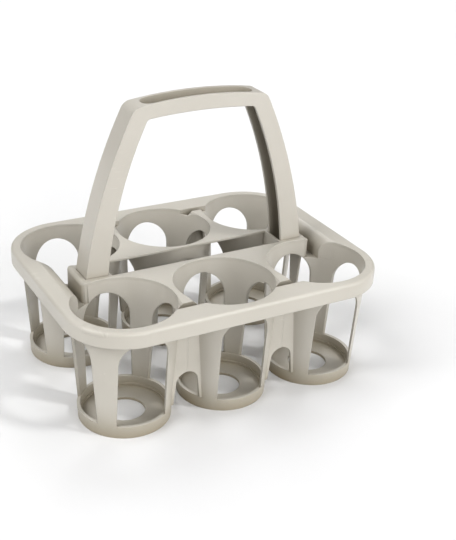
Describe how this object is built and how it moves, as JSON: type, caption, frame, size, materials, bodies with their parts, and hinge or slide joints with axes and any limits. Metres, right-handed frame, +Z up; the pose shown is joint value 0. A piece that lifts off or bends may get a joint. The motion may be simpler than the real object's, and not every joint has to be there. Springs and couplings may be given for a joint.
{
  "type": "bottle carrier",
  "caption": "Open bottle carrier: tapered cups with arched windows and webs under a rounded rim, and an arched channel-section handle standing in sockets at the ends.",
  "frame": {"origin": "middle of the footprint, on the plane that the base rings stand on", "axes": "+X along the rows of cups, from the left end to the right end; +Y from the front row to the rear row; +Z up, towards the grip"},
  "size_m": [0.3384, 0.2614, 0.296],
  "materials": {
    "basket_plastic": "satin moulded plastic, warm light grey, with a fine grain",
    "handle_plastic": "satin moulded plastic, warm light grey, with a fine grain"
  },
  "bodies": {
    "basket": {"rim": "basket_plastic", "spine": "basket_plastic", "cup_front_left": "basket_plastic", "cup_front_middle": "basket_plastic", "cup_front_right": "basket_plastic", "cup_rear_left": "basket_plastic", "cup_rear_middle": "basket_plastic", "cup_rear_right": "basket_plastic"},
    "handle": {"handle": "handle_plastic"}
  },
  "joints": [
    {"name": "handle_lift", "type": "slide", "parent": "basket", "child": "handle", "axis": [0, 0, 1], "range_m": [0, 0.03]}
  ]
}
